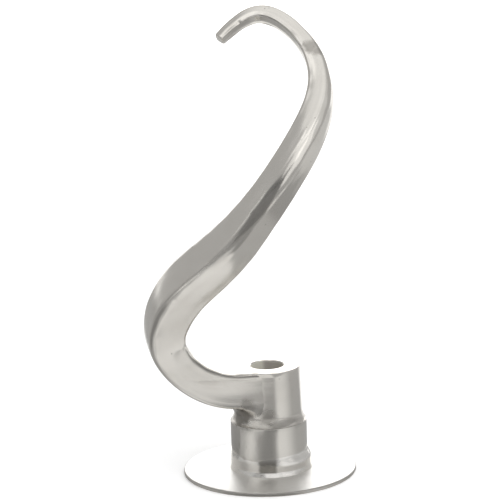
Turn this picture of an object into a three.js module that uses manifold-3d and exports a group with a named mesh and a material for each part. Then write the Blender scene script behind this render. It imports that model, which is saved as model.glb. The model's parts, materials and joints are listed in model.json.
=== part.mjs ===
// Spiral dough hook for a planetary stand mixer, standing on its splash disc.
// Millimetres, +Z up. The drive shaft enters through the disc and the bore runs right through.
import * as THREE from "three";
import { mergeVertices } from "three/addons/utils/BufferGeometryUtils.js";
import Module from "manifold-3d";

const wasm = await Module();
wasm.setup();

// Drive bore and the bayonet slots that lock on the shaft's cross pin.
const BORE_RADIUS = 9.5;
const BORE_CHAMFER = 1.0;
const PIN_DIAMETER = 6.0;
const PIN_REACH = 3.2;
const LOCK_HEIGHT = 11.0;
const LOCK_TURN = 90;

// Splash disc: a flat plate with a rounded rim and a hole for the sleeve's spigot.
const DISC_RADIUS = 49.5;
const DISC_THICKNESS = 2.4;
const DISC_RIM_ROUND = 0.8;

// Casting's hub: a boss with a little draft, a cove that flares to the sleeve, a spigot inside it.
const BOSS_WALL = 9.3;
const BOSS_HEIGHT = 32.0;
const BOSS_DRAFT = 1.5;
const COVE_HEIGHT = 5.2;
const COVE_REACH = 1.8;
const CAST_SPIGOT_WALL = 5.3;
const CAST_SPIGOT_LENGTH = 12.0;

// Sleeve: a turned collar that stands on the disc and carries the casting.
const SLEEVE_HEIGHT = 28.6;
const SLEEVE_EDGE_CHAMFER = 0.5;
const SLEEVE_SPIGOT_WALL = 6.3;

// Weld bead round the sleeve's foot; its fullest level is a share of its height.
const BEAD_HEIGHT = 7.2;
const BEAD_REACH = 1.7;
const BEAD_FULLEST = 0.4;
const BEAD_FOOT_REACH = 1.4;

// Clearances: radial gap between parts that fit, and the gap at a spigot's end.
const FIT_GAP = 0.2;
const END_GAP = 0.3;

// Arm: a square bar with rounded corners, twisted as it winds round the hub's axis to the tip.
const ROOT_SIDE = 19.5;
const ROOT_REACH = 27.5;
const ROOT_SINK = 0.1;
const ROOT_DROP = 0.3;
const ARM_RISE = 197.5;
const ARM_TWIST = 60;
const RIDGE_RADIUS = 5.0;
const FRONT_EDGE_RADIUS = 1.6;
const INNER_EDGE_RADIUS = 3.0;
const BACK_EDGE_RADIUS = 2.4;
const TIP_CHAMFER = 0.5;

// Degrees that each corner of the bar's section turns through.
const QUARTER = 90;

// Facets of the round parts, the arm, its corners, and small arcs.
const ROUND_STEPS = 64;
const ARM_STEPS = 76;
const CORNER_STEPS = 4;
const COVE_STEPS = 5;
const BEAD_STEPS = 6;
const SLOT_STEPS = 12;

// Levels, up from the disc's underside.
const SLEEVE_TOP = DISC_THICKNESS + SLEEVE_HEIGHT;
const BOSS_TOP = SLEEVE_TOP + BOSS_HEIGHT;
const CAST_SPIGOT_END = SLEEVE_TOP - CAST_SPIGOT_LENGTH;

// Radii, out from the bore: each piece takes its place from the one it fits.
const BOSS_TOP_RADIUS = BORE_RADIUS + BOSS_WALL;
const DRAFT_SLOPE = Math.tan(THREE.MathUtils.degToRad(BOSS_DRAFT));
const BOSS_FOOT_RADIUS = BOSS_TOP_RADIUS + (BOSS_HEIGHT - COVE_HEIGHT) * DRAFT_SLOPE;
const COVE_RADIUS = BOSS_FOOT_RADIUS + COVE_REACH;
const SLEEVE_RADIUS = COVE_RADIUS + SLEEVE_EDGE_CHAMFER;
const CAST_SPIGOT_RADIUS = BORE_RADIUS + CAST_SPIGOT_WALL;
const SLEEVE_SPIGOT_RADIUS = BORE_RADIUS + SLEEVE_SPIGOT_WALL;

// The bar's root lies just behind the boss's front face and just under its end face.
const BOSS_FRONT = BOSS_TOP_RADIUS + (ROOT_SIDE / 2) * DRAFT_SLOPE;
const ROOT_BACK = ROOT_SIDE / 2 + ROOT_SINK - BOSS_FRONT;
const ROOT_UP = -(ROOT_SIDE / 2 + ROOT_DROP);

// Stations of the bar: [sideways, back, up from the boss's end face, side of the square].
// Past the root their levels are shares of the arm's rise to the top of its curl.
const ARM_STATIONS = [
  [0, ROOT_BACK, ROOT_UP, ROOT_SIDE],
  [-ROOT_REACH, ROOT_BACK, ROOT_UP, 20],
  [-57, -5.5, 0.078 * ARM_RISE, 20.5],
  [-51, -14, 0.213 * ARM_RISE, 22],
  [-24.5, -31, 0.365 * ARM_RISE, 21.5],
  [0, -42, 0.516 * ARM_RISE, 17.5],
  [24, -29.5, 0.684 * ARM_RISE, 16],
  [34.7, -3, 0.82 * ARM_RISE, 12.8],
  [24.5, 17.5, 0.942 * ARM_RISE, 9.5],
  [1.5, 29, ARM_RISE, 8.5],
  [-21, 21, 0.937 * ARM_RISE, 6],
];

// A closed geometry as a manifold-3d solid.
function solidOf(geometry) {
  const bare = new THREE.BufferGeometry();
  bare.setAttribute("position", geometry.getAttribute("position"));
  if (geometry.index) bare.setIndex(geometry.index);
  const merged = mergeVertices(bare, 1e-4);
  return new wasm.Manifold(
    new wasm.Mesh({
      numProp: 3,
      vertProperties: new Float32Array(merged.attributes.position.array),
      triVerts: new Uint32Array(merged.index.array),
    }),
  );
}

// A manifold-3d solid as a geometry.
function geometryOf(solid) {
  const mesh = solid.getMesh();
  const geometry = new THREE.BufferGeometry();
  geometry.setAttribute("position", new THREE.BufferAttribute(mesh.vertProperties, 3));
  geometry.setIndex(new THREE.BufferAttribute(mesh.triVerts, 1));
  return geometry;
}

// A body turned round the Z axis from an outline of [radius, height] points, anticlockwise.
function turned(outline) {
  const points = outline.map(([radius, height]) => new THREE.Vector2(radius, height));
  if (outline[0][0] > 0) points.push(points[0].clone());
  return new THREE.LatheGeometry(points, ROUND_STEPS).rotateX(Math.PI / 2);
}

// Points of an arc in the [radius, height] plane, angles in degrees.
function arc(radius, height, across, up, from, to, steps) {
  return Array.from({ length: steps + 1 }, (_, i) => {
    const angle = THREE.MathUtils.degToRad(from + ((to - from) * i) / steps);
    return [radius + across * Math.cos(angle), height + up * Math.sin(angle)];
  });
}

// Natural cubic spline: a curve through the values whose bending is continuous and dies at the ends.
function naturalSpline(knots, values) {
  const last = knots.length - 1;
  const bend = new Array(last + 1).fill(0);
  const pivot = new Array(last + 1).fill(0);
  for (let i = 1; i < last; i++) {
    const before = knots[i] - knots[i - 1];
    const after = knots[i + 1] - knots[i];
    const slopes = (values[i + 1] - values[i]) / after - (values[i] - values[i - 1]) / before;
    const scale = 2 * (before + after) - before * pivot[i - 1];
    pivot[i] = after / scale;
    bend[i] = (6 * slopes - before * bend[i - 1]) / scale;
  }
  for (let i = last - 1; i > 0; i--) bend[i] -= pivot[i] * bend[i + 1];
  return (t) => {
    let i = 0;
    while (i < last - 1 && t > knots[i + 1]) i++;
    const span = knots[i + 1] - knots[i];
    const b = (t - knots[i]) / span;
    const a = 1 - b;
    const straight = a * values[i] + b * values[i + 1];
    const bent = (a ** 3 - a) * bend[i] + (b ** 3 - b) * bend[i + 1];
    return straight + (bent * span ** 2) / 6;
  };
}

// The bar's section in half-sides: a square whose four corners are arcs of their own radius.
function barSection() {
  const corners = [
    [1, 1, RIDGE_RADIUS],
    [-1, 1, FRONT_EDGE_RADIUS],
    [-1, -1, INNER_EDGE_RADIUS],
    [1, -1, BACK_EDGE_RADIUS],
  ];
  return corners.flatMap(([outer, front, radius], quarter) => {
    const share = (2 * radius) / ROOT_SIDE;
    const from = QUARTER * quarter;
    return arc(outer * (1 - share), front * (1 - share), share, share,
      from, from + QUARTER, CORNER_STEPS);
  });
}

// The arm: the section carried along the stations' spline without rolling, plus an even twist.
function armGeometry() {
  const places = ARM_STATIONS.map(([x, y, up]) => new THREE.Vector3(x, y, BOSS_TOP + up));
  const knots = [0];
  for (let i = 1; i < places.length; i++) {
    knots.push(knots[i - 1] + places[i].distanceTo(places[i - 1]));
  }
  const length = knots[knots.length - 1];
  const axes = ["x", "y", "z"].map((axis) => naturalSpline(knots, places.map((p) => p[axis])));
  const side = naturalSpline(knots, ARM_STATIONS.map((station) => station[3]));
  const centre = (t) => new THREE.Vector3(...axes.map((along) => along(t)));

  const section = barSection();
  const rings = [];
  const outer = new THREE.Vector3(0, 0, -1);
  let lastTangent = null;
  const addRing = (t, scale) => {
    const near = length / ARM_STEPS / 4;
    const tangent = centre(Math.min(t + near, length)).sub(centre(Math.max(t - near, 0)));
    tangent.normalize();
    if (lastTangent) {
      outer.applyQuaternion(new THREE.Quaternion().setFromUnitVectors(lastTangent, tangent));
    }
    outer.addScaledVector(tangent, -outer.dot(tangent)).normalize();
    lastTangent = tangent;
    const twist = THREE.MathUtils.degToRad(BOSS_DRAFT + (ARM_TWIST * t) / length);
    const out = outer.clone().applyAxisAngle(tangent, twist);
    const front = new THREE.Vector3().crossVectors(tangent, out);
    const half = (scale * side(t)) / 2;
    rings.push(section.map(([o, f]) =>
      centre(t).addScaledVector(out, o * half).addScaledVector(front, f * half)));
  };
  for (let i = 0; i < ARM_STEPS; i++) addRing(((length - TIP_CHAMFER) * i) / (ARM_STEPS - 1), 1);
  addRing(length, 1 - (2 * TIP_CHAMFER) / side(length));

  const around = section.length;
  const faces = [];
  for (let i = 0; i < rings.length - 1; i++) {
    for (let j = 0; j < around; j++) {
      const a = i * around + j;
      const b = i * around + ((j + 1) % around);
      faces.push(a, b, a + around, b, b + around, a + around);
    }
  }
  const tip = (rings.length - 1) * around;
  for (let j = 1; j < around - 1; j++) {
    faces.push(0, j + 1, j);
    faces.push(tip, tip + j, tip + j + 1);
  }
  const geometry = new THREE.BufferGeometry().setFromPoints(rings.flat());
  geometry.setIndex(faces);
  return geometry;
}

// Tool that cuts the bore through the casting, with a chamfered mouth in the end face.
function boreTool() {
  return turned([
    [0, CAST_SPIGOT_END - END_GAP],
    [BORE_RADIUS, CAST_SPIGOT_END - END_GAP],
    [BORE_RADIUS, BOSS_TOP - BORE_CHAMFER],
    [BORE_RADIUS + BORE_CHAMFER + END_GAP, BOSS_TOP + END_GAP],
    [0, BOSS_TOP + END_GAP],
  ]);
}

// Casting: boss, cove and spigot in one with the arm, bored through.
function hookCasting() {
  const hub = turned([
    [0, CAST_SPIGOT_END],
    [CAST_SPIGOT_RADIUS, CAST_SPIGOT_END],
    [CAST_SPIGOT_RADIUS, SLEEVE_TOP],
    [COVE_RADIUS, SLEEVE_TOP],
    ...arc(COVE_RADIUS, SLEEVE_TOP + COVE_HEIGHT, COVE_REACH, COVE_HEIGHT - SLEEVE_EDGE_CHAMFER,
      270, 180, COVE_STEPS),
    [BOSS_TOP_RADIUS, BOSS_TOP],
    [0, BOSS_TOP],
  ]);
  const whole = solidOf(hub).add(solidOf(armGeometry()));
  return geometryOf(whole.subtract(solidOf(boreTool())));
}

// One arm of the bayonet slot: straight in from the open end, then round to the lock, whose end
// wall is straight so that the pin seats along its whole length.
function slotTools(start) {
  const width = PIN_DIAMETER + 2 * END_GAP;
  const reach = BORE_RADIUS + PIN_REACH;
  const straight = new THREE.BoxGeometry(reach, width, LOCK_HEIGHT + PIN_DIAMETER / 2 + END_GAP);
  straight.translate(reach / 2, 0, (LOCK_HEIGHT + PIN_DIAMETER / 2 - END_GAP) / 2);
  const lock = THREE.MathUtils.degToRad(LOCK_TURN);
  const outer = reach - FIT_GAP;
  const sector = new THREE.Shape();
  sector.absarc(0, 0, outer, 0, lock + Math.asin(width / 2 / outer), false);
  sector.lineTo((-width / 2) * Math.sin(lock), (width / 2) * Math.cos(lock));
  const around = new THREE.ExtrudeGeometry(sector, {
    depth: width,
    bevelEnabled: false,
    curveSegments: SLOT_STEPS,
  });
  around.translate(0, 0, LOCK_HEIGHT - width / 2);
  return [straight, around].map((tool) => solidOf(tool.rotateZ(start)));
}

// Sleeve: spigot through the disc, collar on it, counterbore for the casting, bayonet slots inside.
function hubSleeve() {
  const counterbore = CAST_SPIGOT_RADIUS + FIT_GAP;
  const shelf = CAST_SPIGOT_END - END_GAP;
  const body = turned([
    [BORE_RADIUS, 0],
    [SLEEVE_SPIGOT_RADIUS, 0],
    [SLEEVE_SPIGOT_RADIUS, DISC_THICKNESS],
    [SLEEVE_RADIUS, DISC_THICKNESS],
    [SLEEVE_RADIUS, SLEEVE_TOP - SLEEVE_EDGE_CHAMFER],
    [SLEEVE_RADIUS - SLEEVE_EDGE_CHAMFER, SLEEVE_TOP],
    [counterbore, SLEEVE_TOP],
    [counterbore, shelf],
    [BORE_RADIUS, shelf],
  ]);
  const tools = [...slotTools(0), ...slotTools(Math.PI)];
  return geometryOf(tools.reduce((solid, tool) => solid.subtract(tool), solidOf(body)));
}

// Splash disc: a washer whose outer rim is rounded over, no more than its thickness allows.
function splashDisc() {
  const round = Math.min(DISC_RIM_ROUND, DISC_THICKNESS / 2.2);
  const rim = DISC_RADIUS - round;
  const hole = SLEEVE_SPIGOT_RADIUS + FIT_GAP;
  return turned([
    [hole, 0],
    ...arc(rim, round, round, round, 270, 360, CORNER_STEPS),
    ...arc(rim, DISC_THICKNESS - round, round, round, 0, 90, CORNER_STEPS),
    [hole, DISC_THICKNESS],
  ]);
}

// Weld bead: a convex ring in the corner between the sleeve and the disc.
function weldBead() {
  const inner = SLEEVE_RADIUS + FIT_GAP;
  const fullest = BEAD_HEIGHT * BEAD_FULLEST;
  return turned([
    [inner, DISC_THICKNESS],
    [inner + BEAD_FOOT_REACH - FIT_GAP, DISC_THICKNESS],
    ...arc(inner, DISC_THICKNESS + fullest, BEAD_REACH - FIT_GAP, BEAD_HEIGHT - fullest,
      0, 90, BEAD_STEPS),
  ]);
}

const steel = (color, roughness) =>
  new THREE.MeshStandardMaterial({ color, roughness, metalness: 1.0 });

const pieces = [
  ["hook_casting", hookCasting(), steel(0xbebcb7, 0.22)],
  ["hub_sleeve", hubSleeve(), steel(0xbab8b2, 0.2)],
  ["splash_disc", splashDisc(), steel(0xc4c2bd, 0.16)],
  ["disc_weld_bead", weldBead(), steel(0xb0aea8, 0.3)],
];

const hook = new THREE.Group();
for (const [name, geometry, material] of pieces) {
  const mesh = new THREE.Mesh(geometry, material);
  mesh.name = name;
  hook.add(mesh);
}

// The part's origin is the middle of its footprint box, on the surface that the disc rests on.
const middle = new THREE.Box3().setFromObject(hook).getCenter(new THREE.Vector3());
hook.position.set(-middle.x, -middle.y, 0);

const part = new THREE.Group();
part.add(hook);

export default part;
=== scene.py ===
# %% [markdown]
# # A spiral dough hook in polished cast steel
# A dough hook stands on its splash disc, hub down and curl up. Four pieces make it: a casting (hub
# boss and twisted arm in one), a turned sleeve, a flat disc, and the weld that joins sleeve and disc.
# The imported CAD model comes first. It fixes every size and place, and the surfaces made here are
# finer ones that take the places of its faceted solids.

# %% Load the frame
import json
import math

import bpy
import numpy as np
from mathutils import Matrix, Vector


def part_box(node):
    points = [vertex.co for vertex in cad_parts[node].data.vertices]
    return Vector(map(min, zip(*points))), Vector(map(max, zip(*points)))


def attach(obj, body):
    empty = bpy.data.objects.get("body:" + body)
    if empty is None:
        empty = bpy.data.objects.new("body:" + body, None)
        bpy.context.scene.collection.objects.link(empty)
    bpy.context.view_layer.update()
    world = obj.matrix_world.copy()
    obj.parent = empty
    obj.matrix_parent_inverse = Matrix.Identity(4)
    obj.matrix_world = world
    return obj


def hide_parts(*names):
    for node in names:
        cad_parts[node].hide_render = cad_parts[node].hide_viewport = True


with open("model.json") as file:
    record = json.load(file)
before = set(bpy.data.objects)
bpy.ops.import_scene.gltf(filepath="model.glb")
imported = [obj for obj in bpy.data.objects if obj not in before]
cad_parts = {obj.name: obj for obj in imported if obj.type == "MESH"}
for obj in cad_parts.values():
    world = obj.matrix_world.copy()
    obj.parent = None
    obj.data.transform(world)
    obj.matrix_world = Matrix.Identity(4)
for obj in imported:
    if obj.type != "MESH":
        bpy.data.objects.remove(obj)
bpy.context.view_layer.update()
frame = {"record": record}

MM = 0.001

# %% [markdown]
# ## Sizes from the frame
# The round pieces share one axis, the hub's, so every array below is in millimetres round it, and
# one function moves them to metres in the frame. Radii and levels are read from the CAD boxes, so the
# looks can't drift from the part.


# %% Hub axis, radii and levels
def box_mm(node):
    """A node's lowest and highest corners in millimetres."""
    low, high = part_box(node)
    return np.array(low) / MM, np.array(high) / MM


disc_low, disc_high = box_mm("splash_disc")
sleeve_low, sleeve_high = box_mm("hub_sleeve")
bead_low, bead_high = box_mm("disc_weld_bead")

HUB = np.array([*(disc_low[:2] + disc_high[:2]) / 2, 0.0])
DISC_RADIUS = (disc_high[0] - disc_low[0]) / 2
DISC_THICKNESS = disc_high[2]
SLEEVE_RADIUS = (sleeve_high[0] - sleeve_low[0]) / 2
SLEEVE_TOP = sleeve_high[2]
BEAD_RADIUS = (bead_high[0] - bead_low[0]) / 2
SPIGOT_END = box_mm("hook_casting")[0][2]
mounts = {mount["name"]: mount for mount in frame["record"]["mounts"]}
BOSS_TOP = mounts["boss_end_face"]["pos_m"][2] / MM
print("hub axis", HUB.round(3), "disc radius", round(DISC_RADIUS, 2), "boss top", BOSS_TOP)

# %% [markdown]
# ## Camera
# A long lens from a little above, as in a catalogue picture: far enough away that upright lines stay
# nearly parallel. It comes first, so that each piece can be looked at as soon as it is made. The
# camera leans by under two degrees.

# %% Place the camera
LENS = 200.0
SENSOR = 36.0
CAMERA_HEIGHT_ANGLE = math.radians(13.628)
CAMERA_LEAN = math.radians(-1.865)
CAMERA_DISTANCE = 1571.0
CLIP_END = 20.0
AIM = HUB + np.array([-7.48, 0.0, 130.64])

ahead = Vector((0, math.cos(CAMERA_HEIGHT_ANGLE), -math.sin(CAMERA_HEIGHT_ANGLE)))
level = Vector((1, 0, 0))
upright = level.cross(ahead)
right = math.cos(CAMERA_LEAN) * level + math.sin(CAMERA_LEAN) * upright
up = math.cos(CAMERA_LEAN) * upright - math.sin(CAMERA_LEAN) * level

camera_data = bpy.data.cameras.new("camera")
camera_data.lens = LENS
camera_data.sensor_width = SENSOR
camera_data.clip_end = CLIP_END
camera = bpy.data.objects.new("camera", camera_data)
camera.matrix_world = Matrix.Translation(Vector(AIM * MM) - ahead * CAMERA_DISTANCE * MM) @ Matrix(
    (right, up, -ahead)).transposed().to_4x4()
bpy.context.scene.collection.objects.link(camera)
bpy.context.scene.camera = camera
print("camera at", [round(value, 3) for value in camera.matrix_world.translation])

# %% [markdown]
# ## Helpers for materials
# Every finish below is built from nodes. Three small helpers keep that readable: one turns a paint
# chart's hex colour into the linear light that the renderer works in, one adds a node with its
# settings and links in a single line, and one starts a material.

# %% Colour, node and material helpers
# Settings that many nodes share.
MULTIPLY = {"operation": "MULTIPLY"}
MULTIPLY_ADD = {"operation": "MULTIPLY_ADD"}
MAXIMUM = {"operation": "MAXIMUM"}
LENGTH = {"operation": "LENGTH"}
SMOOTH = {"interpolation_type": "SMOOTHSTEP"}
COLOURS = {"data_type": "RGBA"}


def linear(hex_colour):
    """An sRGB hex colour as linear RGBA: c / 12.92 for dark channels, ((c + 0.055) / 1.055)^2.4 above."""
    channels = [int(hex_colour[i:i + 2], 16) / 255 for i in (1, 3, 5)]
    return (*[c / 12.92 if c <= 0.04045 else ((c + 0.055) / 1.055) ** 2.4 for c in channels], 1.0)


def add(tree, kind, settings=None, *values, **links):
    """Adds a node, sets its properties and fills its inputs: values go in by their order, links by
    their names, with _ for a space. A node given as a value is linked by its first output in use, and
    a hex colour is made linear."""
    node = tree.nodes.new("ShaderNode" + kind)
    for name, setting in (settings or {}).items():
        setattr(node, name, setting)
    inputs = list(enumerate(values)) + [(name.replace("_", " "), value) for name, value in links.items()]
    for key, value in inputs:
        if isinstance(value, bpy.types.Node):
            value = next(output for output in value.outputs if output.enabled)
        if isinstance(value, bpy.types.NodeSocket):
            tree.links.new(value, node.inputs[key])
        else:
            node.inputs[key].default_value = linear(value) if isinstance(value, str) else value
    return node


def new_material(name):
    """An empty node material and its tree."""
    material = bpy.data.materials.new(name)
    material.use_nodes = True
    material.node_tree.nodes.clear()
    return material, material.node_tree


print("mid grey", [round(channel, 3) for channel in linear("#808080")[:3]])

# %% [markdown]
# ## Studio: floor
# Polished steel has hardly any colour of its own. What shows on it is the room, so the room has to be
# built with the same care as the hook. The floor is matt white paper. It is lit just to white, so it
# clips evenly in the distance and still holds the soft shadow round the disc.

# %% Lay the floor
FLOOR_REACH = 4000.0
FLOOR_WHITE = "#fafafa"
FLOOR_LIFT = 0.15
# The lamps fade with distance, so the camera sees the floor lifted more from NEAR to FAR, in metres.
NEAR_FLOOR = 0.4
FAR_FLOOR = 3.0
FAR_LIFT = 0.6
SQUARE = [(-1, -1), (1, -1), (1, 1), (-1, 1)]


def new_object(name, points, faces):
    """A mesh object from points in millimetres round the hub's axis: metres = (point + hub) / 1000."""
    mesh = bpy.data.meshes.new(name)
    mesh.from_pydata(((np.asarray(points, float) + HUB) * MM).tolist(), [], faces)
    made = bpy.data.objects.new(name, mesh)
    bpy.context.scene.collection.objects.link(made)
    return made


def stage_sheet(name, points, material, faces=None):
    """A sheet of one flat face, or of the faces given."""
    sheet = new_object(name, points, faces or [range(len(points))])
    sheet.data.materials.append(material)
    return sheet


def finish_matt(tree, colour, glow=0.0):
    """Ends a matt finish: no shine, and a white glow of this strength."""
    shader = add(tree, "BsdfPrincipled", Base_Color=colour, Roughness=1.0, Specular_IOR_Level=0.0,
                 Emission_Color="#ffffff", Emission_Strength=glow)
    add(tree, "OutputMaterial", Surface=shader)


paper, tree = new_material("matt_white_paper")
rays = add(tree, "LightPath").outputs
seen = add(tree, "Math", {"operation": "ADD"}, rays["Is Camera Ray"], rays["Is Glossy Ray"])
lift = add(tree, "Math", MULTIPLY, seen, FLOOR_LIFT)
place = add(tree, "TexCoord").outputs["Object"]
distance = add(tree, "VectorMath", LENGTH, place)
far_lift = add(tree, "MapRange", {}, distance, NEAR_FLOOR, FAR_FLOOR, 0.0, FAR_LIFT)
shown = add(tree, "Math", MULTIPLY_ADD, far_lift, rays["Is Camera Ray"], lift)
finish_matt(tree, FLOOR_WHITE, shown)
stage_sheet("paper_floor", [(x * FLOOR_REACH, y * FLOOR_REACH, 0) for x, y in SQUARE], paper)
print("floor", 2 * FLOOR_REACH * MM, "metres across")

# %% [markdown]
# ## Studio: grey card round the hook
# Standing on white paper alone, the hub would reflect nothing but white and look flat. A photographer
# lays grey card round such a piece. Here rings of card lie round the hub, graded with the direction.
# More cards are held above them beside the arm, two hang in front of it, and a low white band stands
# round the front for the foot of the hub. Only reflections show them, and they cast no shadow.

# %% Lay and hang the card
# Height of the laid card in mm, and degrees from one of its points to the next.
CARD_LIFT = 0.5
CARD_STEP = 2
# Direction from the hub in degrees, anticlockwise from +X seen from above, and the card's tone there.
# Card is grey, so its tone is the two hex digits that red, green and blue share.
NEAR_TONES = [
    (-180, "bc"), (-163, "ce"), (-152, "e6"), (-140, "f6"), (-131, "ea"), (-124, "d0"), (-116, "b0"),
    (-104, "a0"), (-86, "9a"), (-76, "a6"), (-69, "dc"), (-64, "fa"), (-45, "f4"), (-30, "e0"),
    (-19, "ca"), (-7, "be"), (6, "b4"), (34, "be"), (44, "e4"), (56, "fa"), (78, "f0"), (103, "b0"),
    (125, "80"), (150, "7c"), (165, "84"), (180, "a4"),
]
# The far and the outer card are alike on their left and right.
LEFT_TONES = [(-180, "a8"), (-152, "a8"), (-140, "c8")]
RIGHT_TONES = [
    (-45, "ea"), (-30, "de"), (-19, "ca"), (-7, "b2"), (5, "a4"), (20, "a2"), (36, "aa"), (46, "c8"),
]
FAR_TONES = [
    *LEFT_TONES, (-130, "e2"), (-118, "da"), (-108, "cc"), (-101, "a2"), (-91, "92"), (-68, "98"),
    (-63, "e6"), (-55, "ec"), *RIGHT_TONES, (120, "e8"), (128, "b4"), (152, "ba"), (166, "a0"),
    (180, "ac"),
]
OUTER_TONES = [*LEFT_TONES, (-130, "e4"), (-84, "e0"), *RIGHT_TONES, (180, "c8")]
HORIZON_TONES = [
    (-180, "a6"), (-150, "b0"), (-120, "a2"), (-108, "f4"), (-84, "e8"), (-76, "9a"), (-40, "a8"),
    (-18, "b8"), (0, "da"), (20, "ee"), (50, "e6"), (118, "e4"), (128, "b4"), (180, "a6"),
]
# Tones, first and last direction, inner and outer radius of each piece of card on the floor.
LAID_CARDS = [
    ("near_card", NEAR_TONES, -180, 180, 46.5, 115),
    ("far_card", FAR_TONES, -180, 50, 115, 268),
    ("far_left_card", FAR_TONES, 120, 180, 115, 380),
    ("outer_card", OUTER_TONES, -180, 50, 268, 380),
    ("horizon_card", HORIZON_TONES, -180, 50, 380, 4000),
    ("horizon_left_card", HORIZON_TONES, 118, 180, 380, 4000),
]
# Tone, glow and corners of cards held above the floor beside the arm, and their height.
RAISED_HEIGHT = 60.0
RAISED_CARDS = [
    ("raised_white_card", "f2", 0.06,
     [(5, -20.5), (-38, -20.5), (-62, -42), (-120, -112), (-60, -112), (-8, -86), (5, -60)]),
    ("raised_grey_card", "ba", 0.0,
     [(5, -20.5), (5, -60), (24, -92), (40, -150), (95, -150), (95, 10), (60, -20.5)]),
    ("raised_mid_grey_card", "a2", 0.0,
     [(95, 10), (95, -150), (200, -150), (270, -60), (270, 34), (150, 30)]),
    ("raised_dark_card", "8a", 0.0,
     [(-92, -10), (-240, 0), (-240, -80), (-132, -80), (-92, -46)]),
]
# Tone, left, right, lowest and highest of two grey cards hung in front of the arm, and their distance.
HUNG_PLACE = -110.0
HUNG_CARDS = [
    ("hung_dark_card", "88", -70, 34, 120, 196),
    ("hung_grey_card", "a8", -140, 50, 90, 120),
]
# The band's tone, first and last direction, steps between them, radius, and lowest and highest level.
BAND_TONE = "f4"
BAND_DIRECTIONS = (-155, -25)
BAND_STEPS = 26
BAND_RADIUS = 220.0
BAND_LEVELS = (60.0, 92.0)


def grey(tone):
    """Linear grey from the two hex digits of its tone."""
    return linear("#" + tone * 3)


def matt_card(name, tone, glow=0.0):
    """Card of one tone, with no shine. A glow stands for a lamp behind translucent card."""
    card, tree = new_material(name)
    finish_matt(tree, grey(tone), glow)
    return card


def graded_card(name, tones):
    """Card whose tone follows the direction from the hub: a radial gradient centred on the hub gives
    (direction + 180) / 360, and a ramp turns that into the tones."""
    card, tree = new_material(name)
    place = add(tree, "TexCoord").outputs["Object"]
    centred = add(tree, "Mapping", Vector=place, Location=tuple(-HUB * MM))
    sweep = add(tree, "TexGradient", {"gradient_type": "RADIAL"}, Vector=centred)
    ramp = add(tree, "ValToRGB", Fac=sweep.outputs["Fac"])
    stops = ramp.color_ramp.elements
    for index, (direction, tone) in enumerate(tones):
        stop = stops[index] if index < 2 else stops.new(0.5)
        stop.position = (direction + 180) / 360
        stop.color = grey(tone)
    finish_matt(tree, ramp)
    return card


def hold_card(name, points, material, faces=None):
    """A sheet of card that mirror reflections show and nothing else does."""
    sheet = stage_sheet(name, points, material, faces)
    sheet.visible_camera = sheet.visible_diffuse = sheet.visible_shadow = False


def hold_strip(name, material, directions, steps, *edges):
    """Card that runs round the hub between two edges, each a radius and a level: points at both edges
    in evenly spaced directions, joined into quads."""
    angle = np.radians(np.linspace(*directions, steps + 1))
    points = [np.stack([radius * np.cos(angle), radius * np.sin(angle), np.full_like(angle, height)], -1)
              for radius, height in edges]
    faces = [(i, i + steps + 1, i + steps + 2, i + 1) for i in range(steps)]
    hold_card(name, np.vstack(points), material, faces)


for name, tones, first, last, inner, outer in LAID_CARDS:
    hold_strip(name, graded_card(name, tones), (first, last), (last - first) // CARD_STEP,
               (inner, CARD_LIFT), (outer, CARD_LIFT))
for name, tone, glow, corners in RAISED_CARDS:
    hold_card(name, [(x, y, RAISED_HEIGHT) for x, y in corners], matt_card(name, tone, glow))
for name, tone, left, right, low, high in HUNG_CARDS:
    corners = [(left, low), (right, low), (right, high), (left, high)]
    hold_card(name, [(x, HUNG_PLACE, z) for x, z in corners], matt_card(name, tone))
hold_strip("low_white_band", matt_card("low_white_band", BAND_TONE), BAND_DIRECTIONS, BAND_STEPS,
           *[(BAND_RADIUS, height) for height in BAND_LEVELS])
print(len(LAID_CARDS), "cards laid,", len(RAISED_CARDS), "raised and", len(HUNG_CARDS), "hung")

# %% [markdown]
# ## Studio: world and softboxes
# A grey world fills the shadows, and big softboxes stand round the hook. Each one is set by the
# brightness it shows, where 1 is white, because that is what the steel will mirror.

# %% World and softboxes
WORLD_LEVEL = 0.52
# Direction (0 behind the hook, 90 to the right, 180 at the camera), height angle, distance, width and
# height in mm, and brightness. The fill light isn't reflected.
SOFTBOXES = [
    ("back_softbox", 10, 18, 2300, 2145, 1500, 1.9),
    ("left_back_softbox", -38, 9, 2300, 1230, 720, 0.7),
    ("right_softbox", 134, 25, 2300, 1674, 2145, 0.52),
    ("side_softbox", 100, 38, 2300, 1400, 2300, 0.22),
    ("front_strip", 180, 7, 2600, 2400, 780, 0.42),
    ("front_top_softbox", 163, 50, 2300, 1500, 1700, 0.5),
    ("overhead_softbox", 90, 84.4, 2300, 2500, 1950, 0.41),
    ("tip_softbox", -131, 66, 2300, 540, 820, 0.52),
    ("top_softbox", 60, 84, 2300, 1000, 1000, 0.12),
]
FILL_LIGHT = ("fill_light", 170, 65, 4000, 4000, 4000, 1.0)
# The same for cards, with a tone in place of the brightness.
STANDING_CARDS = [
    ("left_white_card", -113, 23, 1300, 110, 640, "fa"),
    ("front_left_card", -146, 20, 1300, 820, 960, "7c"),
    ("front_left_high_card", -170, 27, 1300, 330, 560, "6e"),
    ("front_card", 175, 23, 1300, 697, 319, "70"),
]
LAMP_AIM = 100.0


def studio_direction(direction, height_angle):
    """The unit vector from the hook towards a direction and height angle in the studio."""
    turn, rise = math.radians(direction), math.radians(height_angle)
    return Vector((math.sin(turn) * math.cos(rise), math.cos(turn) * math.cos(rise), math.sin(rise)))


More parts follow.
